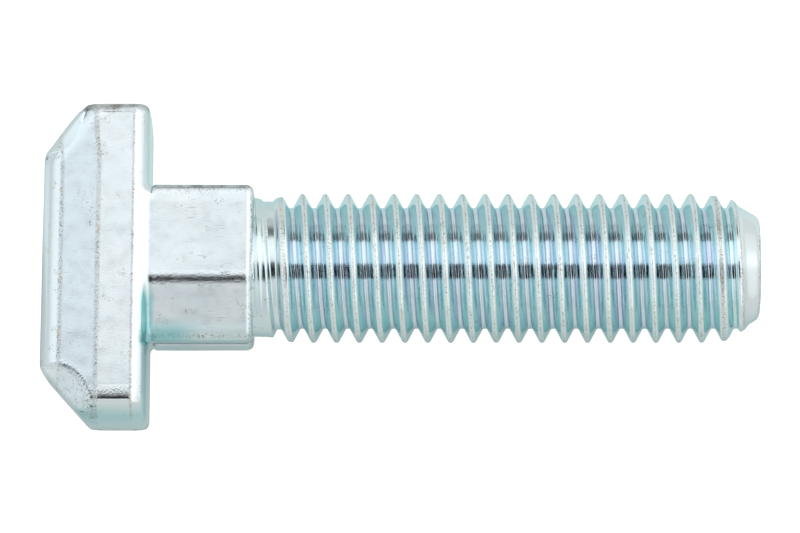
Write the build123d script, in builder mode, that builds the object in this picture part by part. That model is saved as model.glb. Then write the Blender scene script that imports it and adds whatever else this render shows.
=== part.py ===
from build123d import *
from math import radians, sqrt, tan
import os

# Hammer head bolt: a forged T head on a square neck, and a shank whose metric thread runs up to
# the neck. It is one piece of steel, in millimetres.
#
# The bolt lies on one side of its head. +X runs along the thread's axis to the tip, Y lies along
# the head and Z is up. The origin is on the axis, in the plane of the head's bearing faces.

# ------------------------------------------------------------------ driving dimensions

# Head
head_length = 20.8  # between its two ends, along Y
head_width = 10.0  # between its two sides, along Z, below the parting line
head_height = 7.0
parting_height = 3.35  # of the dies' parting line, above the bearing faces
side_draft = 1.2  # degrees, of the sides above the parting line
slope_length = 3.4  # of the slope at each end of the top, along the head
end_height = 3.9  # of the two ends, from the bearing faces to where the slopes start
top_corner_radius = 1.3  # where a slope meets the top
top_edge_radius = 1.2  # where the top and its slopes meet the sides
bearing_edge_radius = 0.9  # where the bearing faces meet the sides
end_edge_radius = 0.45  # round the two ends

# Square neck
neck_width = 10.0  # along the head
neck_inset = 0.3  # of the neck's other two faces from the head's sides
neck_length = 6.8
neck_corner_radius = 0.9
neck_end_radius = 0.8
neck_root_radius = 0.35

# Shank. It has the thread's outline, over the crests, and its groove isn't cut.
bolt_length = 40.0  # from the bearing faces to the tip
blank_diameter = 9.0  # of the plain shank that the thread is rolled on
blank_length = 0.6  # of that shank, from the neck to where the crests start to rise
crest_rise_length = 2.4  # along which the crests reach the full diameter
thread_diameter = 9.85  # over the crests

# Tip
tip_diameter = 7.0
tip_angle = 30.0  # degrees, between the cone and the axis
tip_edge_radius = 0.25

# ------------------------------------------------------------------ worked out from them

half_length = head_length / 2
half_width = head_width / 2
top_half_width = half_width - (head_height - parting_height) * tan(radians(side_draft))
slope_height = head_height - end_height
neck_thickness = head_width - 2 * neck_inset

thread_radius = thread_diameter / 2
blank_radius = blank_diameter / 2
tip_radius = tip_diameter / 2
tip_cone_length = (thread_radius - tip_radius) / tan(radians(tip_angle))
crest_rise_start = neck_length + blank_length

# How far a shape that cuts or bounds another goes past it.
overrun = 1.0

# ------------------------------------------------------------------ the bolt

with BuildPart() as hammer_head_bolt:
    # Head: a bar with drafted sides, lying along Y.
    with BuildSketch(Plane.XZ) as head_section:
        with BuildLine():
            Polyline(
                (0, half_width),
                (-parting_height, half_width),
                (-head_height, top_half_width),
                (-head_height, -top_half_width),
                (-parting_height, -half_width),
                (0, -half_width),
                close=True,
            )
        make_face()
    extrude(amount=half_length + overrun, both=True)

    # Its top slopes down to both ends.
    slope_run = slope_length / slope_height
    with BuildSketch(Plane.XY) as head_elevation:
        with BuildLine():
            outer_y = half_length + overrun
            outer_x = overrun / slope_run - end_height
            top_y = half_length - slope_length
            Polyline(
                (overrun, outer_y),
                (outer_x, outer_y),
                (-head_height, top_y),
                (-head_height, -top_y),
                (outer_x, -outer_y),
                (overrun, -outer_y),
                close=True,
            )
        make_face()
        fillet(head_elevation.vertices().group_by(Axis.X)[0], top_corner_radius)
    extrude(amount=half_width + overrun, both=True, mode=Mode.INTERSECT)

    # The forging's long edges are round: those of the top carry on down the slopes.
    top_face = faces().sort_by(Axis.X)[0]
    fillet(top_face.edges().filter_by(Axis.Y), top_edge_radius)
    bearing_face = faces().sort_by(Axis.X)[-1]
    fillet(bearing_face.edges().filter_by(Axis.Y), bearing_edge_radius)

    # The outline seen along the axis. Two opposite corners are arcs about that axis, on which the
    # head turns clockwise through a quarter in its slot. The two square corners then stop it.
    with BuildSketch(Plane.YZ) as head_plan:
        with BuildLine():
            outer_z = half_width + overrun
            arc_y = sqrt(half_length**2 - outer_z**2)
            Line((half_length, outer_z), (-arc_y, outer_z))
            RadiusArc((-arc_y, outer_z), (-half_length, 0), -half_length)
            Line((-half_length, 0), (-half_length, -outer_z))
            Line((-half_length, -outer_z), (arc_y, -outer_z))
            RadiusArc((arc_y, -outer_z), (half_length, 0), -half_length)
            Line((half_length, 0), (half_length, outer_z))
        make_face()
    extrude(amount=head_height + overrun, both=True, mode=Mode.INTERSECT)

    # An end's edges run smoothly into each other, so the rounding spreads from the slope's edge.
    end_faces = faces().filter_by(Axis.Y)
    slope_ends = end_faces.edges().filter_by(Axis.Z).group_by(Axis.X)[0]
    fillet(slope_ends, end_edge_radius)

    # Square neck, which keeps the bolt from turning in a square hole or in its slot.
    with BuildSketch(Plane.YZ.offset(-parting_height)) as neck_section:
        RectangleRounded(neck_width, neck_thickness, neck_corner_radius)
    extrude(amount=parting_height + neck_length)
    neck_root = edges(Select.NEW).filter_by_position(Axis.X, -bearing_edge_radius, overrun)
    neck_end = faces().sort_by(Axis.X)[-1]
    fillet(neck_end.edges(), neck_end_radius)
    fillet(neck_root, neck_root_radius)

    # Shank: the plain blank behind the thread, the rise of the first crests, and the tip's cone.
    with BuildSketch(Plane.XY) as shank_profile:
        with BuildLine():
            Polyline(
                (0, 0),
                (0, blank_radius),
                (crest_rise_start, blank_radius),
                (crest_rise_start + crest_rise_length, thread_radius),
                (bolt_length - tip_cone_length, thread_radius),
                (bolt_length, tip_radius),
                (bolt_length, 0),
                close=True,
            )
        make_face()
        tip_corner = shank_profile.vertices().group_by(Axis.X)[-1].sort_by(Axis.Y)[-1]
        fillet(tip_corner, tip_edge_radius)
    revolve(axis=Axis.X)

hammer_head_bolt.part.label = "hammer_head_bolt"
os.makedirs("parts", exist_ok=True)
export_step(hammer_head_bolt.part, "parts/hammer_head_bolt.step")
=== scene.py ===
# %% [markdown]
# # Hammer head bolt
# A forged steel bolt: a T head that turns into a slot, a square neck that keeps it from turning
# back, and a rolled metric thread. It is zinc plated and has a blue passivation.
#
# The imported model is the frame. It gives the size and the place, and nothing here changes them.

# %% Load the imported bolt
from math import asin, atan2, cos, degrees, pi, radians, sin, sqrt, tan

import bmesh
import bpy
from mathutils import Matrix, Vector, noise


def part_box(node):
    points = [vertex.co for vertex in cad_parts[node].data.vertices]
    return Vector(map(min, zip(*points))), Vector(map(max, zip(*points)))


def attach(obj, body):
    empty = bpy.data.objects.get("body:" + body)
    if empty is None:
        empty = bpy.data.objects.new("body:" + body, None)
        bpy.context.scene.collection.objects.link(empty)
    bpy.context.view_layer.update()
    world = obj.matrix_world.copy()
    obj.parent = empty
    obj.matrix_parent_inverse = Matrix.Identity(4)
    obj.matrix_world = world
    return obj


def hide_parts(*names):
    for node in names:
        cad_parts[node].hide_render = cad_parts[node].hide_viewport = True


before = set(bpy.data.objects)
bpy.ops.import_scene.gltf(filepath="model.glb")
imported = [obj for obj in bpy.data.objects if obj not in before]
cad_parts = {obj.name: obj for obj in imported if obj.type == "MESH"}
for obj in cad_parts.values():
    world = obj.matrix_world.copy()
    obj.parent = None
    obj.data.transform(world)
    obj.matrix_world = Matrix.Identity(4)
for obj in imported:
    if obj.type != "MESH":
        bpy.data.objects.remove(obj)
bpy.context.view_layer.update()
NODE = "hammer_head_bolt"
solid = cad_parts[NODE]
MM = 0.001
low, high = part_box(NODE)
print("bolt, mm:", [round(side / MM, 2) for side in high - low])

# %% [markdown]
# ## Sizes of the thread
# The head, the neck and the tip follow the solid. The solid's shank is plain, because a helix
# takes very many facets, so the thread's own sizes are given here, in millimetres. A drawing
# shows a thread as sharp trapezoids. On a rolled one the steel flows up between the dies, so the
# crests are round, and so is the root, which the die's own ridge presses in.

# %% The thread's form
PITCH = 1.5
THREAD_RADIUS = 9.81 / 2  # over the crests
DEPTH = 0.93  # of the groove
FLANK = radians(61.7)  # a flank's slope against the axis
CREST_ROUND = 0.205  # a crest's radius
ROOT_ROUND = 0.12  # a root's radius
print("angle between two flanks:", round(180 - 2 * degrees(FLANK), 1))

# %% [markdown]
# ## One pitch
# A thread is one outline that travels round a helix. The outline runs from one crest to the next:
# a round crest, a straight flank, a round root, and the same again in reverse. A list of traced
# points would do too, but arcs worked out from a radius and the flank's slope can be changed with
# one number.

# %% Outline from crest to crest
CREST_STEPS, FLANK_STEPS, ROOT_STEPS = 3, 3, 2  # faces over half a crest, a flank, half a root


def crest_to_root():
    """Points (along the axis, below the crest) from the middle of a crest to that of the root."""
    points = []
    for i in range(CREST_STEPS + 1):
        turned = FLANK * i / CREST_STEPS
        points.append((CREST_ROUND * sin(turned), CREST_ROUND * (1 - cos(turned))))
    crest_x, crest_drop = points[-1]
    corner_x = crest_x + (DEPTH - crest_drop) / tan(FLANK)
    tangent = ROOT_ROUND * tan(FLANK / 2)
    flank_x, flank_drop = corner_x - tangent * cos(FLANK), DEPTH - tangent * sin(FLANK)
    for i in range(1, FLANK_STEPS + 1):
        share = i / FLANK_STEPS
        points.append((crest_x + share * (flank_x - crest_x),
                       crest_drop + share * (flank_drop - crest_drop)))
    for i in range(1, ROOT_STEPS + 1):
        turned = FLANK * (1 - i / ROOT_STEPS)
        points.append((corner_x + tangent - ROOT_ROUND * sin(turned),
                       DEPTH - ROOT_ROUND * (1 - cos(turned))))
    points.append((PITCH / 2, DEPTH))
    return points


half_pitch = crest_to_root()
one_pitch = half_pitch + [(PITCH - x, drop) for x, drop in reversed(half_pitch[:-1])]
print("outline points in one pitch:", len(one_pitch))

# %% [markdown]
# ## The shank's outline
# The thread doesn't have its full height everywhere. Behind the neck the blank is thinner than
# the crests, which rise out of it over two turns, and it flares a little into the neck. At the
# tip a cone cuts the last crests off, and the cone's own rim is rounded. One function of the
# place along the axis and round it says how far out the steel may reach.

# %% How far out the steel reaches
BLANK_RADIUS = 4.5  # of the shank before rolling
TIP_RADIUS = 3.5
TIP_ANGLE = radians(30)
TIP = high.x / MM
RIM_ROUND = 0.32  # of the tip's rim
NECK_LENGTH = 6.8
SHANK_START = NECK_LENGTH - 0.6  # inside the neck
TUCKED_IN = 0.5  # how much thinner the shank is there
NECK_FLARE = 0.15  # how much thicker it is where it leaves the neck
RISE_START, RISE_END = 7.4, 9.8  # where the crests rise to their full height
LAST_CREST = 38.25  # where the last crest crosses +Y
WEAK_CRESTS = 0.13  # how much lower the last crests are
HOLLOW = 0.18  # of the tip's cone, past the last crest


def smooth_step(value, start, end):
    """0 before start, 1 after end, and a smooth rise between them."""
    share = min(1.0, max(0.0, (value - start) / (end - start)))
    return share * share * (3 - 2 * share)


def past_last_crest(x, angle):
    """How far, in mm, a point is past the last crest, and how strongly that crest shows there."""
    round_it = (angle + pi / 2) % (2 * pi) - pi / 2  # from -90 to 270 degrees
    shows = smooth_step(round_it, -pi / 2, -pi / 6) * (1 - smooth_step(round_it, 3.6, 4.6))
    return x - LAST_CREST - PITCH * round_it / (2 * pi), shows


def outline_radius(x, angle):
    """The shank's radius over the crests, in mm, at x and at an angle from +Y towards +Z."""
    radius = BLANK_RADIUS + (THREAD_RADIUS - BLANK_RADIUS) * smooth_step(x, RISE_START, RISE_END)
    radius += NECK_FLARE * (1 - smooth_step(x, NECK_LENGTH, RISE_START + 0.2))
    radius -= TUCKED_IN * (1 - smooth_step(x, SHANK_START, NECK_LENGTH + 0.05))
    radius -= WEAK_CRESTS * smooth_step(x, TIP - 4, TIP - 3)
    past, shows = past_last_crest(x, angle)
    cone = TIP_RADIUS + (TIP - x) * tan(TIP_ANGLE) - HOLLOW * shows * smooth_step(past, 0.0, 0.4)
    rim = max(0.0, x - TIP + RIM_ROUND)
    return min(radius, cone) - RIM_ROUND + sqrt(max(0.0, RIM_ROUND ** 2 - rim ** 2))


print("radius at 7, 9, 20 and 39.5 mm:", [round(outline_radius(x, 0), 2) for x in (7, 9, 20, 39.5)])

# %% [markdown]
# ## The groove's run-out
# The dies don't start at full depth: the groove sinks over nearly a turn. A groove that is deep
# from its first turn would look cut on a lathe. So the groove's floor depends on how many turns a
# point is past the groove's first trace.

# %% Where the groove is and how deep
GROOVE_START = 7.3375  # where the groove's first trace is, along the axis
GROOVE_ANGLE = radians(-90)  # and round it, from +Y towards +Z
RUNOUT_TURNS = 0.95


def groove_x(angle, x):
    """Where along the axis the groove nearest to x is, at that angle round the axis."""
    first = GROOVE_START + PITCH * (angle - GROOVE_ANGLE) / (2 * pi)
    return first + PITCH * round((x - first) / PITCH)


def floor_radius(turns):
    """The groove's floor, in mm, so many turns after its first trace."""
    sunk = smooth_step(turns, 0, RUNOUT_TURNS)
    return BLANK_RADIUS - (BLANK_RADIUS - THREAD_RADIUS + DEPTH) * sunk


print("floor after 0, a third and 1 turn:", [round(floor_radius(t), 2) for t in (0, 1 / 3, 1)])

# %% [markdown]
# ## Rolling the helix
# The screw modifier could sweep the outline, but a spin with a step along the axis does it inside
# bmesh, where the result can be shaped further. One turn is spun in 72 steps. Its two ends lie a
# pitch apart, so the spin isn't merged; the turn is copied along the axis, and doubles are
# removed where the copies meet.

# %% Spin one turn and repeat it
TURN_STEPS = 72


def helix_mesh():
    """The helix before it is fitted, from inside the neck to past the tip, in mm."""
    bm = bmesh.new()
    start = groove_x(0, NECK_LENGTH - PITCH) - PITCH / 2
    row = [bm.verts.new((start + x, THREAD_RADIUS - drop, 0)) for x, drop in one_pitch]
    edges = [bm.edges.new(pair) for pair in zip(row, row[1:])]
    bmesh.ops.spin(bm, geom=row + edges, cent=(0, 0, 0), axis=(1, 0, 0), angle=2 * pi,
                   steps=TURN_STEPS, dvec=(PITCH / TURN_STEPS, 0, 0), use_merge=False)
    one_turn = bm.verts[:] + bm.edges[:] + bm.faces[:]
    for turn in range(1, int((TIP - start) / PITCH) + 2):
        copy = bmesh.ops.duplicate(bm, geom=one_turn)["geom"]
        copied = [item for item in copy if isinstance(item, bmesh.types.BMVert)]
        bmesh.ops.translate(bm, verts=copied, vec=(PITCH * turn, 0, 0))
    bmesh.ops.remove_doubles(bm, verts=bm.verts, dist=1e-4)
    return bm


thread = helix_mesh()
print("helix:", len(thread.verts), "vertices")

# %% [markdown]
# ## Fitting the thread to the shank
# One rule now sets each vertex's distance from the axis: it is the thread's, but no deeper than
# the run-out's floor and no further out than the outline. The first and the last crests come out
# wide and flat, as on a rolled bolt.
#
# Four attributes go with the mesh, and the finish reads them later: how deep a point is in the
# groove, how close to a crest's worn strip, how worn an edge it is, and how much painted teal shade
# it gets.

# %% Radius and marks of each point
STRIP, LEAST_STRIP = 0.018, 0.012  # how far below a crest its worn strip reaches, and at least


def wave(x, y, z, size, seed=0.0):
    """Smooth noise from -1 to 1 whose bumps are about so many mm wide."""
    return noise.noise(Vector((x + 31 * seed, y, z)) / size)


def fit_thread(bm):
    """Move each point of the helix to its place on the shank, and mark it."""
    depth, crest, wear_and_dull_ends, shade_and_thin_film = [bm.verts.layers.float.new(name) for name in
                                ("groove_depth", "crest", "edge_wear_and_dull_ends", "teal_shade_and_thin_film")]
    for vert in bm.verts:
        x, y, z = vert.co
        rolled, angle = sqrt(y * y + z * z), atan2(z, y)
        outline = outline_radius(x, angle)
        turns_cut = (groove_x(angle, x) - GROOVE_START) / PITCH
        radius = min(outline, max(rolled, floor_radius(turns_cut)))
        y, z = radius * cos(angle), radius * sin(angle)
        vert.co = x, y, z
        vert[depth] = outline - radius
        strip = STRIP + 0.5 * (THREAD_RADIUS - outline)
        strip += 0.02 * wave(x, y, z, 1.2, 6) + 0.012 * wave(x, y, z, 0.5, 7)
        if past_last_crest(x, angle)[0] < 0.10:
            grows = (0.5 + 0.5 * smooth_step(x, 9.0, 9.6)) * smooth_step(x, 7.8, 8.4)
            below = smooth_step(THREAD_RADIUS - rolled, 0.0, max(LEAST_STRIP, strip))
            vert[crest] = grows * (1 - below)  # the first crests are hardly worn
        vert[wear_and_dull_ends] = smooth_step(x, TIP - 0.2, TIP - 0.04) * smooth_step(radius, 3.0, 3.2)
        # Painted shade: a little teal darkening on the plain shank next to the neck.
        vert[shade_and_thin_film] = 0.25 * (1 - smooth_step(x, 7.5, 9.0))


fit_thread(thread)
print("greatest radius, mm:", round(max(vert.co.yz.length for vert in thread.verts), 2))

# %% [markdown]
# ## The thread's two ends
# The helix starts inside the neck and runs past the tip. Both ends have to be cut off square and
# closed, because only a closed shape can be joined to the neck. A bisect does the cut, and the
# edges that it gives back are the rim of the face that closes it.

# %% Cut off and close the ends
def cut_across(bm, x, keep):
    """Cut off what is past x, or before it, and close the cut with a face."""
    cut = bmesh.ops.bisect_plane(bm, geom=bm.verts[:] + bm.edges[:] + bm.faces[:], dist=1e-5,
                                 plane_co=(x, 0, 0), plane_no=(1, 0, 0),
                                 clear_outer=keep == "before", clear_inner=keep == "after")
    rim = [item for item in cut["geom_cut"] if isinstance(item, bmesh.types.BMEdge)]
    bmesh.ops.contextual_create(bm, geom=rim)
    bmesh.ops.recalc_face_normals(bm, faces=bm.faces)


cut_across(thread, SHANK_START, "after")
cut_across(thread, TIP, "before")
open_edges = [edge for edge in thread.edges if not edge.is_manifold]
print("thread:", len(thread.verts), "vertices,", len(open_edges), "open edges")

# %% [markdown]
# ## Head and neck
# They are forged, so they keep the solid's form with the small irregularities of a forging. They
# could be modelled again by hand, but the solid already has the exact shape. A copy of it is
# merged, cut off behind the neck, and given an even skin of small faces by a voxel remesh, because
# the solid's long thin triangles can't be dented.

# %% An even skin on a copy of the solid
def object_from(bm, name):
    """A new object with the bmesh as its mesh."""
    mesh = bpy.data.meshes.new(name)
    bm.to_mesh(mesh)
    bm.free()
    made = bpy.data.objects.new(name, mesh)
    bpy.context.scene.collection.objects.link(made)
    return made


def apply_modifiers(made):
    """Keep what an object's modifiers make of its mesh."""
    graph = bpy.context.evaluated_depsgraph_get()
    mesh = bpy.data.meshes.new_from_object(made.evaluated_get(graph))
    made.modifiers.clear()
    made.data = mesh


forging = bmesh.new()
forging.from_mesh(solid.data)
bmesh.ops.transform(forging, matrix=Matrix.Scale(1 / MM, 4), verts=forging.verts)
bmesh.ops.remove_doubles(forging, verts=forging.verts, dist=1e-4)
cut_across(forging, NECK_LENGTH + 0.3, "before")
bolt = object_from(forging, "bolt")
skin = bolt.modifiers.new("even skin", "REMESH")
skin.mode = "VOXEL"
skin.voxel_size = 0.15
apply_modifiers(bolt)
print("head and neck:", len(bolt.data.vertices), "vertices")

# %% [markdown]
# ## Creases along the head's sides
# A hot forging doesn't fill its dies to a sharp edge. Its sides meet the rounded edges in a faint
# crease, above and below the parting line. Each crease is a slope that starts at a line: inside
# the line nothing moves, and past it the side drops in step with the distance. Where the neck
# begins, the lower crease stops. A little noise keeps the lines from being ruler straight.

# %% The two creases
PARTING = -3.35  # the parting line's place along the axis
CREASE_TOP, CREASE_BEARING = -5.75, -0.95  # where the creases are
TOP_DROP, BEARING_DROP = 0.20, 0.24  # how steeply the side falls past each


def crease_drop(x, y, z):
    """How far the side is pressed in, in mm."""
    joins = smooth_step(x, -0.5, -0.15) * (1 - smooth_step(abs(y), 4.7, 5.1))
    top = max(0.0, CREASE_TOP + 0.06 * wave(x, y, z, 2.0) - x)
    bearing = max(0.0, x - CREASE_BEARING - 0.05 * wave(x, y, z, 1.5, 1)) * (1 - joins)
    return TOP_DROP * top + BEARING_DROP * bearing


print("drop at the bearing edge, mm:", round(crease_drop(-0.1, 8, 5), 2))

# %% [markdown]
# ## The pressed corners of the slopes
# Where a slope of the top meets a side, the die left a lens-shaped facet: narrow and round at the
# upper end, wide at the lower one. It is measured from the slope's edge: a distance at right
# angles to it, and a width that swells along it. A boolean with a big cylinder could cut it, but
# pressing the skin keeps the facet's edge soft.

# %% The lens
LENS_START, LENS_ALONG = Vector((-7.0, 7.0)), Vector((3.1, 3.4)).normalized()
LENS_LENGTH = 4.6
TOP_WIDTH = 0.97  # of the upper lens in its middle
LOW_WIDTH, LOW_SWELL = 0.55, 1.0  # of the lower one at its ends, and how much wider its middle is
TOP_FALL, LOW_FALL = 0.38, 0.42  # how steeply each falls towards the slope
LENS_ROUND = 0.35  # of the slope's edge beside it


def lens(x, y, top):
    """Distance from the slope's edge and the pressed facet's width there, y from the middle."""
    place = Vector((x, y)) - LENS_START
    distance = place.dot(Vector((LENS_ALONG.y, -LENS_ALONG.x)))
    share = min(1.0, max(0.0, place.dot(LENS_ALONG) / LENS_LENGTH))
    if top:
        width = TOP_WIDTH * sin(pi * share ** 0.75)
    else:
        width = LOW_WIDTH + LOW_SWELL * sin(pi * share ** 0.85) ** 0.8
    return distance, width + 0.06 * wave(x, y, 0, 1.2, 2 + top)


def lens_height(distance, width, top):
    """How far the side is below its flat part, in mm, so far from the slope's edge."""
    inside = max(0.0, min(distance, LENS_ROUND))
    corner = LENS_ROUND - sqrt(LENS_ROUND ** 2 - (LENS_ROUND - inside) ** 2)
    return (TOP_FALL if top else LOW_FALL) * max(0.0, width - max(distance, 0.0)) + corner


print("lens width in the middle, mm:", [round(lens(-5.4, 8.7, top)[1], 2) for top in (True, False)])

# %% [markdown]
# ## Pressing a corner
# The lens only says how far a point of the side should drop. A point inside it goes there, and
# the points of the slope beside it move along with its edge, so that the skin doesn't fold. The
# facet runs out at the parting line and at the head's end, where the forging is whole.

# %% Press a corner
HEAD_SIDE = 4.93  # the flat part of the side, from the middle plane
EDGE_INSIDE = 3.7  # where the slope's edge starts to turn down to the side
CORNER_END = PARTING + 1.2  # a slope's corner ends here along the axis
CORNER_OUT = 6.4  # and starts here, from the middle of the head's length


def corner_fade(x, up):
    """1 at a slope's corner, and 0 where the facet has run out."""
    fades = 1 - smooth_step(x, PARTING - 0.6, PARTING + 1.0)
    return fades * smooth_step(abs(up), 6.5, 7.2) * (1 - smooth_step(abs(up), 9.7, 10.2))


def press_corner(x, up, inner):
    """The new distance from the middle plane, in mm, of a point near a slope's corner."""
    if x > CORNER_END or abs(up) < CORNER_OUT:
        return inner
    distance, width = lens(x, abs(up), up > 0)
    if inner > EDGE_INSIDE and distance < width:
        goal = HEAD_SIDE - lens_height(distance, width, up > 0)
        return inner + corner_fade(x, up) * (goal - inner)
    if distance < 0.25:
        edge = HEAD_SIDE - lens_height(0, width, up > 0)
        moved = (edge - EDGE_INSIDE) * smooth_step(inner, 2.6, EDGE_INSIDE)
        return inner + corner_fade(x, up) * moved
    return inner


print("side in the middle of the lenses, mm:",
      [round(press_corner(-5.4, up, HEAD_SIDE), 2) for up in (8.7, -8.7)])

# %% [markdown]
# ## The neck's side and corners
# The neck leaves the die along a line on each side: above it the side is flat, and below it the
# side turns in by 18 degrees. Its other corners are crisper than the solid's. A corner is made
# crisper by moving each point outwards along its own radius, which turns a circle into a rounder
# square, and the round at the neck's end is moved and shrunk in the same spirit.

# %% Bend, corners and end of the neck
NECK_SIDE = 4.7  # the neck's side, from the middle plane
NECK_REACH = 5.2  # no point of the neck is further than this from the middle of its width
BEND_Y = -1.1  # where the side's bend is, along the neck's width
BEND = tan(radians(18))
BEND_ROUND = 0.3
CORNER_Y, CORNER_Z = 4.1, 3.8  # the centre of a corner's arc
CRISPNESS = 3.6  # 2 would leave the arc as it is
END_START, END_SHIFT = 6.0, 0.37  # where the solid's end rounding starts, and how far it goes
END_ROUND, NEW_ROUND = 0.8, 0.5  # its radius, and the new one


def bend_side(x, up, inner):
    """The neck's side below the bend, which is rounded over BEND_ROUND on either side of it."""
    below = BEND_Y - up
    if abs(up) > NECK_REACH or below < -BEND_ROUND:
        return inner
    if below < BEND_ROUND:
        below = (below + BEND_ROUND) ** 2 / (4 * BEND_ROUND)
    return inner * (1 - smooth_step(x, -0.35, 0.0) * below * BEND / NECK_SIDE)


def crisper_corner(out_y, out_z):
    """How much further out a point of the corner's arc goes, from the arc's centre."""
    turn = atan2(out_z, out_y)
    return (abs(cos(turn)) ** CRISPNESS + abs(sin(turn)) ** CRISPNESS) ** (-1 / CRISPNESS)


def neck_end(x):
    """Where a point goes so that the neck's end rounding is smaller and a bit further out."""
    if x <= END_START:
        return x + END_SHIFT * smooth_step(x, 4.6, END_START)
    inward = END_ROUND * (1 - cos(asin(min(1.0, (x - END_START) / END_ROUND))))
    past = sqrt(NEW_ROUND ** 2 - (NEW_ROUND - inward) ** 2) if inward < NEW_ROUND else NEW_ROUND
    return END_START + END_SHIFT + past


print("side at the neck's lower edge, mm:", round(bend_side(3, -4.5, NECK_SIDE), 2))

# %% [markdown]
# ## Two like sides, and a lean
# The dies of both sides are alike: half a turn round the axis takes one side to the other. So
# most rules are written for one side only, and a point of the other is turned over first. A mirror
# modifier would turn it the wrong way round. The head also leans a little against the shank, as on
# any forging.

# %% Sides and lean
SIDE_START = 2.5  # where a side's dents and marks start to show, from the middle plane


def folded(y, z):
    """A point's place towards its side's upper slope, and from the middle plane."""
    return (y if z > 0 else -y), abs(z)


def on_side(inner):
    """0 near the middle plane, and 1 on the head's sides."""
    return smooth_step(inner, SIDE_START, 4.2)


def lean(x, y):
    """The head isn't quite square to the shank, and its upper slope is steeper."""
    top, bearing = 0.035 + 0.019 * y, -0.06 + 0.011 * y
    share = min(1.0, max(0.0, -x / 7))
    shift = bearing + (top - bearing) * share
    return shift - 0.3 * smooth_step(y, 7.0, 9.6) * smooth_step(-x, 2.2, 3.8)


print("the head's ends lean by, mm:", [round(lean(-3.5, y), 2) for y in (-10.4, 10.4)])

# %% [markdown]
# ## Pressing the skin
# All of this comes together in one function that takes a point to its new place. Sculpting by hand
# would do it as well, but a rule can be read, and changed with one number. Two things are new in
# it: a ramp leads from the head's side down to the neck's, where forged steel never makes a sharp
# step, and the sides are a degree off square.

# %% The new place of a point
SKEW = tan(radians(0.9))  # of the sides against the plane through the axis
ROOT_END = 0.15  # where the ramp between the head's side and the neck's runs out
HEAD_END = 0.3  # marks before this x are the head's, and past it the neck's


def press(x, y, z):
    """The new place of a point of the head or the neck, in mm."""
    side = 1 if z > 0 else -1
    up, inner = folded(y, z)
    start_up = up
    if x < HEAD_END:
        inner = press_corner(x, up, inner) - on_side(inner) * crease_drop(x, y, z)
    if -1.2 < x < ROOT_END:
        fills = smooth_step(inner, 4.3, 4.6) * (1 - smooth_step(abs(up), 4.4, 5.0))
        inner += fills * max(0.0, NECK_SIDE + min(0.3, 0.27 * (ROOT_END - x)) - inner)
    if x > -0.4:
        inner = bend_side(x, up, inner)
    if x > HEAD_END:
        out_y, out_z = abs(y) - CORNER_Y, inner - CORNER_Z
        if up > CORNER_Y and out_z > 0:
            crisper = crisper_corner(out_y, out_z)
            inner, up = CORNER_Z + out_z * crisper, CORNER_Y + out_y * crisper
        up += 0.12 * smooth_step(start_up, 3, 4.8)
        x = neck_end(x)
    inner -= SKEW * start_up * smooth_step(inner, 1.5, 4.0)
    y = up * side
    return Vector((x + lean(x, y), y, inner * side))


print("the tip of the upper corner moves to", [round(v, 2) for v in press(-3.6, 10.3, 4.6)])

# %% [markdown]
# ## Wear, and painted dullness at the ends
# A plated bolt isn't one colour. Tumbling in the drum roughens its edges and its parting line.
# Such marks could be painted, but then they stay where they are when the shape changes. Here each
# is a number that every point of the skin carries. The wear grows towards the nearest crease,
# parting line or edge of the neck. The head's ends and the neck's upper edge get extra, most at
# the upper end, for grey grime and a painted dull reflection in place of the highlight they would
# catch.

# %% How worn a point is, and how dull its ends are painted
HEAD_RIM = 10.15  # where the head's end edges are, from the middle of its length
NECK_EDGE_Y, NECK_EDGE_Z = 4.75, 4.4  # a corner of the neck
NECK_RIM = 6.45  # the edge at the neck's end, along the axis


def wear_and_dull_ends_of(x, y, z):
    """1 on a worn edge, and more at the head's two ends and the neck's upper edge, for grey grime
    and a painted dull reflection.
    """
    up, outer = folded(y, z)
    near, ends = 1.0, 0.0
    if x < HEAD_END and outer > SIDE_START:
        near = min(1.6 * abs(x - CREASE_TOP), 2.2 * abs(x - CREASE_BEARING),
                   1.5 * abs(x - PARTING - 0.08))
        ends = on_side(outer) * (1 - smooth_step(abs(abs(y) - HEAD_RIM), 0.1, 0.42))
        ends *= 1.6 if up > 0 else 1.0
        if x < CORNER_END and up < -CORNER_OUT:
            distance, width = lens(x, -up, False)
            if distance < width:
                near = min(near, 0.7 * (width - distance), 0.2 + 0.12 * wave(x, 3 * y, z, 1.4, 8))
    elif x > HEAD_END:
        edge = max(abs(abs(y) - NECK_EDGE_Y), NECK_EDGE_Z - outer)
        near = min(edge * (0.6 if up > 0 else 1.0), 0.03 + 1.1 * abs(x - NECK_RIM))
        ends = 0.7 * (1 - smooth_step(edge, 0.05, 0.2)) if up > 0 else 0.0
    return max(0.0, 1 - near / 0.3) + ends


print("wear on the parting line and beside it:", [round(wear_and_dull_ends_of(x, 3, 5), 2) for x in (-3.3, -3.0)])

# %% [markdown]
# ## Painted teal shade, and thin film
# The lower faces get a painted teal shade: the head's lower end, the bearing faces under the head,
# more on their lower half, the neck's lower edge, most near the head, and the neck's lower side
# where it leaves the head. It is thin in the upper lens, where parts rubbed against each other.
# Gradient textures could place all this, but smooth steps along the bolt's own directions say in
# plain numbers where a region starts and where it is at its full strength.

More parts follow.
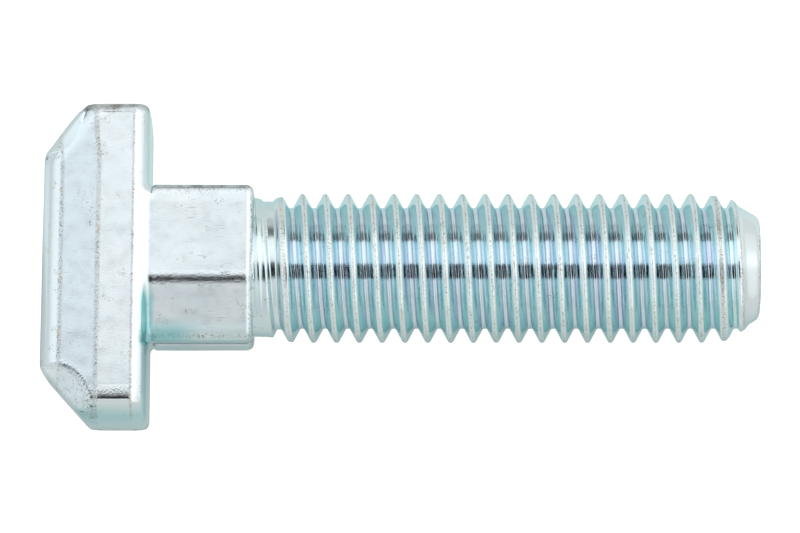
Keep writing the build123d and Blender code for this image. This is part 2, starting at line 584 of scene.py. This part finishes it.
# %% Painted shade and thin film of a point
def shade_and_thin_film_of(x, y, z):
    """1 where a lower face gets the painted teal shade, and -1 where the passivation is rubbed
    thin.
    """
    up, outer = folded(y, z)
    shade_and_thin_film = 0.0
    if x < HEAD_END:
        bearing_face = smooth_step(x, -0.4, -0.1) * smooth_step(abs(y), 4.9, 5.3)
        shade_and_thin_film = max(0.75 * smooth_step(-up, 9.0, 10.2), (0.8 if up < 0 else 0.5) * bearing_face)
        if x < CORNER_END and up > CORNER_OUT and outer > EDGE_INSIDE:
            distance, width = lens(x, up, True)
            shade_and_thin_film = -smooth_step(width - distance, -0.05, 0.1) * smooth_step(distance, 0.1, 0.5)
            shade_and_thin_film *= corner_fade(x, up)
    if x > -0.4 and abs(y) < NECK_REACH:
        shade_and_thin_film = max(shade_and_thin_film, smooth_step(-up, 3.3, 4.6) * (1 - 0.7 * smooth_step(x, 1.6, 3.8)),
                   smooth_step(-up, 1.2, 2.6) * (1 - smooth_step(x, 0.25, 0.5)))
    return shade_and_thin_film * smooth_step(outer, 1.0, 3.4)  # it fades where the two sides' marks meet


print("film low and high on the neck:", [round(shade_and_thin_film_of(2, y, 4.7), 2) for y in (-4.5, 4.5)])

# %% [markdown]
# ## Grain, and all of it on the skin
# Steel that was bent is grainy, because its crystals turn against each other. That is the last of
# the three numbers. They are stored before the points move, as they are worked out from the places
# on the solid. Noise of two sizes then keeps the flats from being as flat as glass.

# %% Forge the skin
LOWER_BEND = -8.4  # along the head, just above its lower end


def grain_of(x, y, z):
    """1 where the steel was bent: at the neck's bend, the head's lower end and the lower lens."""
    up, outer = folded(y, z)
    if x > HEAD_END:
        return (1 - smooth_step(abs(up - BEND_Y), 0.2, 0.6)) * smooth_step(outer, 3.0, 4.0)
    if outer < 4.0:
        return 0.0
    grain = 0.8 * (1 - smooth_step(abs(up - LOWER_BEND), 0.1, 0.35))
    if x < CORNER_END and up < -CORNER_OUT:
        distance, width = lens(x, -up, False)
        grain = max(grain, 1 - smooth_step(abs(width - distance), 0.15, 0.4))
    return grain


def forge(mesh):
    """Press every point of the skin, and add what is uneven in a forging."""
    places = []
    for name, rule in (("edge_wear_and_dull_ends", wear_and_dull_ends_of), ("teal_shade_and_thin_film", shade_and_thin_film_of), ("bent_grain", grain_of)):
        mark = mesh.attributes.new(name, "FLOAT", "POINT")
        mark.data.foreach_set("value", [rule(*vert.co) for vert in mesh.vertices])
    for vert in mesh.vertices:
        place = press(*vert.co)
        uneven = 0.016 * wave(*place, 3.2, 3) + 0.005 * wave(*place, 1.0, 4)
        places.append(place + vert.normal * uneven)
    mesh.vertices.foreach_set("co", [value for place in places for value in place])
    mesh.update()


forge(bolt.data)
print("head, mm:", [round(side, 2) for side in bolt.dimensions])

# %% [markdown]
# ## One piece of steel
# The shank starts inside the neck and the two are one forging, so they are joined by a boolean
# rather than left touching. The manifold solver is fast, and it carries the attributes of both
# meshes over. The mesh then goes from millimetres to metres, in which Blender and the frame work.

# %% Join the thread
shank = object_from(thread, "shank")
join = bolt.modifiers.new("join", "BOOLEAN")
join.operation = "UNION"
join.solver = "MANIFOLD"
join.object = shank
apply_modifiers(bolt)
bpy.data.objects.remove(shank)
bolt.data.transform(Matrix.Scale(MM, 4))
bolt.data.polygons.foreach_set("use_smooth", [True] * len(bolt.data.polygons))
print("bolt:", len(bolt.data.vertices), "vertices,", len(bolt.data.polygons), "faces")

# %% [markdown]
# ## Nodes and colours
# Every material here is built from the same two helpers: one turns an sRGB hex value, as a
# designer writes a colour, into Blender's linear colour, and one adds a node. The second sets the
# node's properties, fills its inputs, links an input that is given a socket, and returns an
# output, so that one node's result can be passed straight on to the next.

# %% Two helpers
def linear(hex_colour):
    """Linear RGBA from an sRGB hex value."""
    parts = [int(hex_colour[i:i + 2], 16) / 255 for i in (1, 3, 5)]
    return [p / 12.92 if p <= 0.04045 else ((p + 0.055) / 1.055) ** 2.4 for p in parts] + [1.0]


def add(tree, kind, settings=None, out=0, **inputs):
    """Add a node to the tree. An input is named, or is i and its number."""
    made = tree.nodes.new("ShaderNode" + kind)
    for name, value in (settings or {}).items():
        setattr(made, name, value)
    for name, value in inputs.items():
        socket = made.inputs[int(name[1:]) if name[1:].isdigit() else name.replace("_", " ")]
        if isinstance(value, bpy.types.NodeSocket):
            tree.links.new(value, socket)
        else:
            socket.default_value = value
    return made.outputs[out] if made.outputs else made


COLOUR = {"data_type": "RGBA"}
EASED = {"interpolation_type": "SMOOTHSTEP"}
TIMES, LARGER, TIMES_PLUS = [{"operation": kind}
                             for kind in ("MULTIPLY", "MAXIMUM", "MULTIPLY_ADD")]
print("a mid grey, linear:", [round(part, 3) for part in linear("#808080")[:3]])

# %% [markdown]
# ## Zinc plated steel, blue passivated
# The bolt is steel with about ten microns of zinc, dipped in a passivation bath. Zinc is a
# slightly bluish white metal, and the clear film on it is thin enough to colour the light: nearly
# nothing on open faces, and teal where light is reflected several times, as between two flanks of
# the thread. That comes from the metal's own colour, because each reflection multiplies it.
#
# The patterns need two sets of coordinates, both in millimetres. One is the place in the bolt.
# The other runs along the helix: it stays the same when a point moves round the groove, so that a
# noise in it draws the long streaks that the rolling dies leave.

# %% Coordinates in millimetres
STREAKS = 13.5  # in one pitch
STREAK_LENGTH = 1 / 0.45  # mm
zinc = bpy.data.materials.new("zinc_blue_passivated_steel")
zinc.use_nodes = True
tree = zinc.node_tree
tree.nodes.clear()
mm = add(tree, "VectorMath", {"operation": "SCALE"}, Vector=add(tree, "TexCoord", out="Object"),
         Scale=1 / MM)
along, across_y, across_z = add(tree, "SeparateXYZ", Vector=mm).node.outputs
angle = add(tree, "Math", {"operation": "ARCTAN2"}, i0=across_y, i1=across_z)  # from +Z
turn_share = add(tree, "Math", TIMES_PLUS, i0=angle, i1=1 / (2 * pi),
                 i2=-(GROOVE_START / PITCH + 0.25 - GROOVE_ANGLE / (2 * pi)))
lead = add(tree, "Math", TIMES_PLUS, i0=along, i1=1 / PITCH, i2=turn_share)
in_pitch = add(tree, "Math", {"operation": "FRACT"}, i0=lead)  # its seam is at the root
drift = add(tree, "Math", TIMES_PLUS, i0=along, i1=0.7,
            i2=add(tree, "Math", TIMES, i0=across_y, i1=1 / STREAK_LENGTH))
rolled = add(tree, "CombineXYZ", X=add(tree, "Math", TIMES, i0=in_pitch, i1=STREAKS), Y=drift,
             Z=add(tree, "Math", TIMES, i0=across_z, i1=1 / STREAK_LENGTH))
print("streaks are", round(PITCH / STREAKS, 2), "mm wide and", round(STREAK_LENGTH, 1), "mm long")

# %% [markdown]
# ## The plating's colour
# The open faces are a cool light grey that clouds over a few millimetres, a little bluer above
# the parting line. One flat colour would look like plastic, so a noise mixes two greys.

# %% Zinc on the open faces
depth, crest, wear_and_dull_ends, shade_and_thin_film, bent = [
    add(tree, "Attribute", {"attribute_name": name}, out="Fac")
    for name in ("groove_depth", "crest", "edge_wear_and_dull_ends", "teal_shade_and_thin_film", "bent_grain")]
CLOUD = 3.0  # mm, the width of a cloud
clouds = add(tree, "TexNoise", Vector=mm, Scale=1 / CLOUD, Detail=2.0)
base = add(tree, "Mix", COLOUR, out=2, i0=add(tree, "MapRange", EASED, i0=clouds, i1=0.35, i2=0.7),
           i6=linear("#dde8ed"), i7=linear("#e3ebef"))
upper_die = add(tree, "MapRange", EASED, i0=along, i1=PARTING - 0.1, i2=PARTING + 0.1, i3=1.0,
                i4=0.0)
base = add(tree, "Mix", COLOUR, out=2, i0=upper_die, i6=base, i7=linear("#d3e0e7"))
print("clouds are about", CLOUD, "mm wide")

# %% [markdown]
# ## The film's colour, painted sheen and painted shade
# In the groove the flanks are painted pale teal, standing in for the teal sheen that the film shows
# at a glancing view, with a lilac line beside the root, where the film changes colour with its
# thickness, and plain again in the root. The flanks are painted tealest and darkest low down, a
# painted shade. The marks that the skin carries say where the lower faces get a painted teal
# shade, and where the film is rubbed thin. A painted map could hold all this, but mixing by depth
# and by marks needs no map and stays sharp at any size.

# %% The film, painted sheen and painted shade
in_groove = add(tree, "Math", TIMES, i0=add(tree, "MapRange", EASED, i0=depth, i1=0.01, i2=0.14),
                i1=add(tree, "MapRange", EASED, i0=along, i1=8.0, i2=9.4))
streaks = add(tree, "TexNoise", Vector=rolled, Scale=1 / 1.6, Detail=2.0)
# The hidden side gets the same painted shade, half a turn round, so its height is turned over.
facing = add(tree, "MapRange", i0=across_z, i1=-1.5, i2=1.5, i3=-1.0, i4=1.0)
height = add(tree, "Math", TIMES, i0=across_y, i1=facing)
# Painted sheen and shade: the flanks are teal, and tealest and darkest low down.
flank_sheen_and_low_shade = add(tree, "ValToRGB", i0=add(tree, "MapRange", i0=height, i1=-4.9, i2=4.9))
sheen_and_shade_stops = flank_sheen_and_low_shade.node.color_ramp.elements
for stop_at in (0.28, 0.53, 0.75):
    sheen_and_shade_stops.new(stop_at)
for stop, colour in zip(sheen_and_shade_stops, ("#b8e4e6", "#cae6eb", "#d4e6ee", "#c8e3e9", "#d3e8ea")):
    stop.color = linear(colour)
flank = add(tree, "Mix", COLOUR, out=2, i6=flank_sheen_and_low_shade, i7=linear("#dfeef2"),
            i0=add(tree, "MapRange", EASED, i0=streaks, i1=0.3, i2=0.7, i4=0.4))
base = add(tree, "Mix", COLOUR, out=2, i0=in_groove, i6=base, i7=flank)
patches = add(tree, "TexNoise", Vector=rolled, Scale=1 / 2.5, Detail=1.0)
lilac = add(tree, "Math", TIMES, i0=add(tree, "MapRange", EASED, i0=depth, i1=0.74, i2=0.86),
            i1=add(tree, "MapRange", EASED, i0=patches, i1=0.40, i2=0.60, i4=0.7))
root = add(tree, "MapRange", EASED, i0=depth, i1=0.86, i2=0.925)
uneven = add(tree, "TexNoise", Vector=mm, Scale=1 / 2.0, Detail=2.0)
# Painted shade: a darker teal on the lower faces, the bearing faces and the neck near the head.
painted_teal_shade = add(tree, "Math", TIMES, i0=shade_and_thin_film,
            i1=add(tree, "MapRange", EASED, i0=uneven, i1=0.2, i2=0.6, i3=0.6, i4=1.0))
thin = add(tree, "MapRange", EASED, i0=shade_and_thin_film, i1=-0.9, i2=-0.1, i3=1.0, i4=0.0)
for share, colour in ((lilac, "#bdb2dd"), (root, "#d2dfe7"), (crest, "#dbe5e6"),
                      (painted_teal_shade, "#9fd0d4"), (thin, "#cddce3")):
    base = add(tree, "Mix", COLOUR, out=2, i0=share, i6=base, i7=linear(colour))
print("colours so far:", len([n for n in tree.nodes if n.type == "MIX"]))

# %% [markdown]
# ## Grime with painted dull reflection, stains and scratches
# Three faint marks. The ends of the head and the neck's upper edge are greyer, in patches, more on
# the upper side: grime from tumbling and handling, and a painted dull reflection where these
# rounded edges would otherwise catch a highlight. Brownish stains are left where rinse water dried
# on the worn edges. Shallow scratches run along the bolt, and noise drawn out nine times longer
# than wide makes those: a few modelled scratches would always look the same, and noise costs no
# faces.

# %% Grime with painted dull reflection, stains and scratches
patches_mm = add(tree, "TexNoise", Vector=mm, Scale=1 / 1.3, Detail=2.0)
patchy = add(tree, "MapRange", EASED, i0=patches_mm, i1=0.35, i2=0.6, i3=0.35, i4=1.0)
worn_edges = add(tree, "MapRange", EASED, i0=wear_and_dull_ends, i1=0.05, i2=0.8)
# Painted dull reflection with the grime: grey in patches over the head's ends and the neck's upper
# edge.
grime_and_dull_reflection = add(tree, "Math", TIMES, i1=patchy,
            i0=add(tree, "MapRange", EASED, i0=wear_and_dull_ends, i1=0.9, i2=1.5, i4=0.8))
dried = add(tree, "TexNoise", Vector=mm, Scale=1 / 1.4, Detail=2.0)
stained = add(tree, "Math", TIMES, i0=add(tree, "Math", LARGER, i0=crest, i1=worn_edges),
              i1=add(tree, "MapRange", EASED, i0=dried, i1=0.58, i2=0.72, i4=0.55))
drawn_out = add(tree, "Mapping", Vector=mm, Rotation=(0, 0, radians(12)), Scale=(0.9, 8.0, 8.0))
lines = add(tree, "TexNoise", Vector=drawn_out, Scale=1.0, Detail=1.0)
scratched = add(tree, "Math", TIMES, i0=add(tree, "MapRange", EASED, i0=lines, i1=0.66, i2=0.72,
                                            i4=0.35),
                i1=add(tree, "MapRange", EASED, i0=patches_mm, i1=0.5, i2=0.65))
for share, colour in ((grime_and_dull_reflection, "#8a9292"), (stained, "#d9ccb6"), (scratched, "#9aa3a8")):
    base = add(tree, "Mix", COLOUR, out=2, i0=share, i6=base, i7=linear(colour))
print("a scratch is about", round(1 / 8.0, 2), "mm wide and", round(1 / 0.9, 1), "mm long")

# %% [markdown]
# ## Specks of dirt
# The edges, the parting line and the crests are pitted, and grey-brown dirt stays in the pits. It
# shows as specks of about a tenth of a millimetre in loose patches, and the flats have a few small
# spots of it too. The same fine noise gives the specks here and the pits' depth in the bump later,
# so the dirt lies where the pits are.

# %% Specks
GRIT = 0.12  # mm from speck to speck
pitted = add(tree, "TexNoise", Vector=mm, Scale=1 / GRIT, Detail=3.0, Roughness=0.65)
speck = add(tree, "MapRange", EASED, i0=pitted, i1=0.50, i2=0.60)
worn = add(tree, "Math", LARGER, i0=add(tree, "Math", TIMES, i0=crest, i1=0.9),
           i1=add(tree, "Math", TIMES, i0=worn_edges, i1=patchy))
mottled = add(tree, "TexNoise", Vector=mm, Scale=1 / 0.9, Detail=2.0)
spots = add(tree, "MapRange", EASED, i0=mottled, i1=0.61, i2=0.71, i4=0.6)
dirty = add(tree, "Math", TIMES, i0=speck, i1=add(tree, "Math", LARGER, i0=worn, i1=spots))
dirt = add(tree, "Mix", COLOUR, out=2, i6=linear("#77736f"), i7=linear("#94836f"),
           i0=add(tree, "MapRange", EASED, i0=mottled, i1=0.45, i2=0.6))
base = add(tree, "Mix", COLOUR, out=2, i0=add(tree, "Math", TIMES, i0=dirty, i1=0.85), i6=base,
           i7=dirt)
print("specks are", GRIT, "mm apart")

# %% [markdown]
# ## Gloss and grain
# Bright zinc is nearly a mirror, so its roughness is low, and lowest in the groove, which the dies
# have burnished. The worn strips on crests and edges are satin. Four bumps lie on each other: a
# fine grain all over, a coarser one where the steel was bent, which breaks its dark reflection up,
# pits where the surface is worn, and the dies' streaks in the groove. Real faces this small would
# make the mesh ten times as large.

# %% Roughness, bumps and the shader
rubbed = add(tree, "Math", TIMES, i0=worn_edges, i1=0.7)
cloudy = add(tree, "TexNoise", Vector=mm, Scale=1 / 0.6, Detail=3.0)
hazy = add(tree, "MapRange", EASED, i0=cloudy, i1=0.45, i2=0.75, i4=0.25)
gloss = add(tree, "Mix", i0=in_groove, i2=0.17, i3=0.09)
for share, roughness in ((crest, 0.32), (rubbed, 0.50), (hazy, 0.40)):
    gloss = add(tree, "Mix", i0=share, i2=gloss, i3=roughness)

grain = add(tree, "TexNoise", Vector=mm, Scale=1 / GRIT, Detail=3.0)
bump = add(tree, "Bump", Strength=0.45, Distance=0.005 * MM, Height=grain)
coarse = add(tree, "TexNoise", Vector=mm, Scale=1 / GRIT, Detail=2.0, Roughness=0.6)
bump = add(tree, "Bump", Strength=1.0, Distance=0.017 * MM, Normal=bump,
           Height=add(tree, "Math", TIMES, i0=coarse, i1=bent))
bump = add(tree, "Bump", Strength=1.0, Distance=0.03 * MM, Normal=bump,
           Height=add(tree, "Math", TIMES, i0=pitted, i1=worn))
drawn = add(tree, "TexNoise", Vector=rolled, Scale=1.0, Detail=3.0)
bump = add(tree, "Bump", Strength=0.7, Distance=0.02 * MM, Normal=bump,
           Height=add(tree, "Math", TIMES, i0=drawn, i1=in_groove))
zinc_shader = add(tree, "BsdfPrincipled", Base_Color=base, Metallic=1.0, Roughness=gloss,
                  Specular_Tint=linear("#cfe6e8"), Normal=bump)
add(tree, "OutputMaterial", Surface=zinc_shader)
print("zinc:", len(tree.nodes), "nodes")

# %% [markdown]
# ## Into the frame
# The finished bolt stands for the solid, rides on the model's only body, and has the zinc plated
# finish. The solid could stay and carry the material, but it has no groove and none of the marks,
# so it is hidden and only counts for contact.

# %% Replace the solid
bolt.data.materials.clear()
bolt.data.materials.append(zinc)
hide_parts(NODE)
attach(bolt, "root")
print("materials:", [material.name for material in bolt.data.materials])

# %% [markdown]
# ## The table it lies on
# A white sheet. To the eye it is white all over. What the bolt reflects of it is greyer: dark on
# the near side, which lies in the bolt's own shade, brightest just beyond the bolt, and weaker
# again further off. A mirror-like metal shows its surroundings more than itself, so this matters
# as much as the light. The sheet glows by kind of ray, because real shading alone leaves it darker.

# %% A sheet of white paper
SHEET = 1.5  # metres from its middle to an edge
IN_SHADE, BEYOND = 0.37, 0.64  # its brightness to the bolt, on the near side and just beyond
FURTHER_OFF = 0.70  # how much of that is left further off
sheet = bmesh.new()
bmesh.ops.create_grid(sheet, x_segments=1, y_segments=1, size=SHEET)
bmesh.ops.translate(sheet, verts=sheet.verts, vec=(0, 0, low.z))
floor = object_from(sheet, "floor")
paper = bpy.data.materials.new("white_paper")
paper.use_nodes = True
tree = paper.node_tree
tree.nodes.clear()
rays = add(tree, "LightPath").node
further = add(tree, "SeparateXYZ", out="Y", Vector=add(tree, "TexCoord", out="Object"))
bright = add(tree, "MapRange", EASED, i0=further, i1=0, i2=5 * MM, i3=IN_SHADE, i4=BEYOND)
fading = add(tree, "MapRange", EASED, i0=further, i1=6 * MM, i2=16 * MM, i3=1.0, i4=FURTHER_OFF)
reflected = add(tree, "Math", TIMES, i0=bright, i1=fading)
seen = add(tree, "Math", TIMES, i0=rays.outputs["Is Camera Ray"], i1=0.85)
glow = add(tree, "Math", TIMES_PLUS, i0=rays.outputs["Is Glossy Ray"], i1=reflected, i2=seen)
diffuse = add(tree, "BsdfDiffuse", Color=linear("#b3b2ad"))
lit = add(tree, "Emission", Color=linear("#ffffff"), Strength=glow)
add(tree, "OutputMaterial", Surface=add(tree, "AddShader", i0=lit, i1=diffuse))
floor.data.materials.append(paper)
print("floor at z, mm:", round(low.z / MM, 2))

# %% [markdown]
# ## The studio
# The light is a tent of white cloth round the table, with a dark gap in front, where the camera
# looks in, and a narrower one above. These gaps are the black bands that a polished thread shows.
# Lamps could make this, but a mirror only shows what stands round it, so the world paints the
# tent: its brightness depends on the direction, measured as an angle above the camera.
#
# The camera looks down at the sheet, tilted by five degrees.

# %% Directions
TILT = radians(5.2)
view_out = Vector((0, -sin(TILT), cos(TILT)))
view_up = Vector((0, cos(TILT), sin(TILT)))
world = bpy.data.worlds.new("studio")
bpy.context.scene.world = world
world.use_nodes = True
tree = world.node_tree
tree.nodes.clear()
where = add(tree, "TexCoord", out="Generated")
out_part = add(tree, "VectorMath", {"operation": "DOT_PRODUCT"}, out="Value", i0=where, i1=view_out)
up_part = add(tree, "VectorMath", {"operation": "DOT_PRODUCT"}, out="Value", i0=where, i1=view_up)
side_part = add(tree, "SeparateXYZ", Vector=where)
above = add(tree, "Math", {"operation": "ARCTAN2"}, i0=up_part, i1=out_part)
beside = add(tree, "Math", {"operation": "ARCTAN2"}, i0=side_part, i1=out_part)
above_share, beside_share = [add(tree, "MapRange", i0=turned, i1=-pi, i2=pi)
                             for turned in (above, beside)]
print("camera's direction:", [round(part, 3) for part in view_out])

# %% [markdown]
# ## How bright each side of the tent is
# Three ramps hold the brightness. The first is for what stands above and below the camera, with
# the two gaps. The second is for the sides, by the angle beside the camera, and the third makes
# the sides a little brighter higher up. A point of the tent changes from the first to the others
# as it goes further to the side. Cloth further round is a touch warmer. One picture of a studio
# would do all of this, but a ramp has few enough numbers to try them one by one.

# %% Brightness by direction
WARMTH = 0.025  # how much less blue the cloth is further off


def set_levels(ramp, levels):
    """Set a ramp's brightness at angles in degrees, from -180 to 180."""
    elements = ramp.node.color_ramp.elements
    while len(elements) < len(levels):
        elements.new(0.5)
    for element, (angle, level) in zip(elements, levels):
        far = min(1.0, max(0.0, (abs(angle) - 45) / 15))
        element.position = (angle + 180) / 360
        element.color = (level, level, level * (1 - WARMTH * far), 1)


ahead = add(tree, "ValToRGB", i0=above_share)
set_levels(ahead, [(-180, 0.62), (-90, 0.72), (-75, 0.66), (-58, 0.66), (-22, 0.78),
                   (-18.5, 0.0), (6.5, 0.0), (10, 1.03), (20, 1.10), (35, 1.15), (52, 1.05),
                   (57, 0.14), (70, 0.14), (78, 0.58), (100, 0.58), (125, 0.84), (180, 0.84)])
sides = add(tree, "ValToRGB", i0=beside_share)
set_levels(sides, [(-180, 1.1), (-130, 0.8), (-110, 0.7), (-75, 0.8), (-55, 1.0), (-20, 0.98),
                   (0, 1.0), (15, 1.22), (40, 1.28), (58, 1.12), (72, 0.95), (90, 0.88),
                   (130, 1.0), (180, 1.1)])
higher = add(tree, "ValToRGB", i0=above_share)
set_levels(higher, [(-180, 0.95), (-60, 0.92), (-15, 0.84), (5, 0.95), (15, 1.12), (32, 1.12),
                    (60, 0.97), (180, 0.97)])
print("levels:", [len(ramp.node.color_ramp.elements) for ramp in (ahead, sides, higher)])

# %% [markdown]
# ## One world from the three ramps
# What the camera sees directly is plain white, so that the bolt stands on white, and the light
# that reaches the bolt stays at its own level. Brighter light would make the ground white too, but
# it would also burn the bolt out.

# %% Mix the ramps
aside = add(tree, "Mix", COLOUR | {"blend_type": "MULTIPLY"}, out=2, i0=1.0, i6=sides, i7=higher)
off_middle = add(tree, "Math", {"operation": "ABSOLUTE"}, i0=side_part)
window = add(tree, "MapRange", EASED, i0=off_middle, i1=0.27, i2=0.44)
sky = add(tree, "Mix", COLOUR, out=2, i0=window, i6=ahead, i7=aside)
tent = add(tree, "Background", Color=sky, Strength=1.13)
plain = add(tree, "Background", Color=linear("#ffffff"), Strength=1.0)
to_camera = add(tree, "LightPath").node.outputs["Is Camera Ray"]
add(tree, "OutputWorld", Surface=add(tree, "MixShader", i0=to_camera, i1=tent, i2=plain))
print("world:", len(tree.nodes), "nodes")

# %% [markdown]
# ## Camera
# A long lens from half a metre away, so that the thread keeps the same pitch from end to end. A
# flat, orthographic view would do that too, but it would lose the slight view of the tip's cone.

# %% Place the camera
AIM = Vector((16.4, 0, 0)) + 0.12 * view_up  # the middle of the view, in mm
DISTANCE = 480  # mm
camera_data = bpy.data.cameras.new("camera")
camera = bpy.data.objects.new("camera", camera_data)
bpy.context.scene.collection.objects.link(camera)
camera.location = (AIM + view_out * DISTANCE) * MM
camera.rotation_euler = Matrix((Vector((1, 0, 0)), view_up, view_out)).transposed().to_euler()
camera_data.sensor_width = 36
camera_data.lens = 328.5
camera_data.clip_start, camera_data.clip_end = 0.01, 10
bpy.context.scene.camera = camera
bpy.context.scene.view_settings.view_transform = "Standard"
print("camera at, mm:", [round(part / MM) for part in camera.location])
